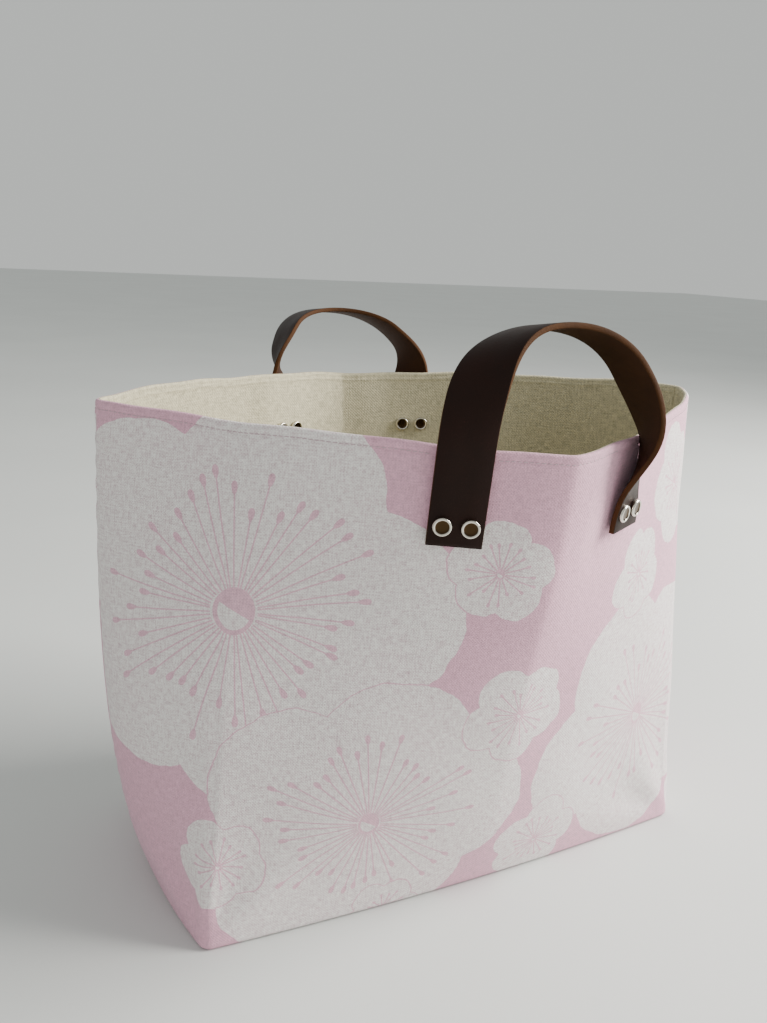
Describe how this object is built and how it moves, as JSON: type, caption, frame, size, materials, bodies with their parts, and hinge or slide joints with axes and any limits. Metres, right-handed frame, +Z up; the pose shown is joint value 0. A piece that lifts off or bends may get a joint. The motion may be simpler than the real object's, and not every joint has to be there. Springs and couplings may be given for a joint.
{
  "type": "fabric storage bin",
  "caption": "Open-topped soft linen storage bin with a flat boxed base, a stiffened wall, a linen lining and riveted leather strap handles.",
  "frame": {"origin": "on the floor, under the middle of the base", "axes": "+Z up, +X from the left side seam to the right side seam, -Y towards the front panel"},
  "size_m": [0.3716, 0.2945, 0.3148],
  "materials": {
    "printed_linen": "slubby plain-weave linen, pale pink, printed with off-white blossoms",
    "interlining_felt": "white non-woven interlining, hidden",
    "natural_linen": "undyed plain-weave linen",
    "stiffener_board": "thin semi-rigid board, hidden",
    "brown_leather": "smooth dark brown bridle leather with raw cut edges",
    "nickel_rivet": "polished nickel plate"
  },
  "bodies": {
    "bin": {"outer_front_panel": "printed_linen", "interlining_front_panel": "interlining_felt", "lining_front_panel": "natural_linen", "outer_back_panel": "printed_linen", "interlining_back_panel": "interlining_felt", "lining_back_panel": "natural_linen", "base_stiffener_board": "stiffener_board", "front_strap_end_left": "brown_leather", "front_strap_end_right": "brown_leather", "back_strap_end_left": "brown_leather", "back_strap_end_right": "brown_leather", "front_left_rivet_caps": "nickel_rivet", "front_right_rivet_caps": "nickel_rivet", "back_left_rivet_caps": "nickel_rivet", "back_right_rivet_caps": "nickel_rivet", "front_left_rivet_posts": "nickel_rivet", "front_right_rivet_posts": "nickel_rivet", "back_left_rivet_posts": "nickel_rivet", "back_right_rivet_posts": "nickel_rivet"},
    "front_handle": {"front_handle_arch": "brown_leather"},
    "back_handle": {"back_handle_arch": "brown_leather"}
  },
  "joints": [
    {"name": "front_handle_flex", "type": "hinge", "parent": "bin", "child": "front_handle", "pos_m": [0, -0.11609, 0.2644], "axis": [1, 0, 0], "range_deg": [-45, 75], "stiffness_Nm_per_rad": 0.15},
    {"name": "back_handle_flex", "type": "hinge", "parent": "bin", "child": "back_handle", "pos_m": [0, 0.11609, 0.2644], "axis": [-1, 0, 0], "range_deg": [-75, 30], "stiffness_Nm_per_rad": 0.15}
  ]
}
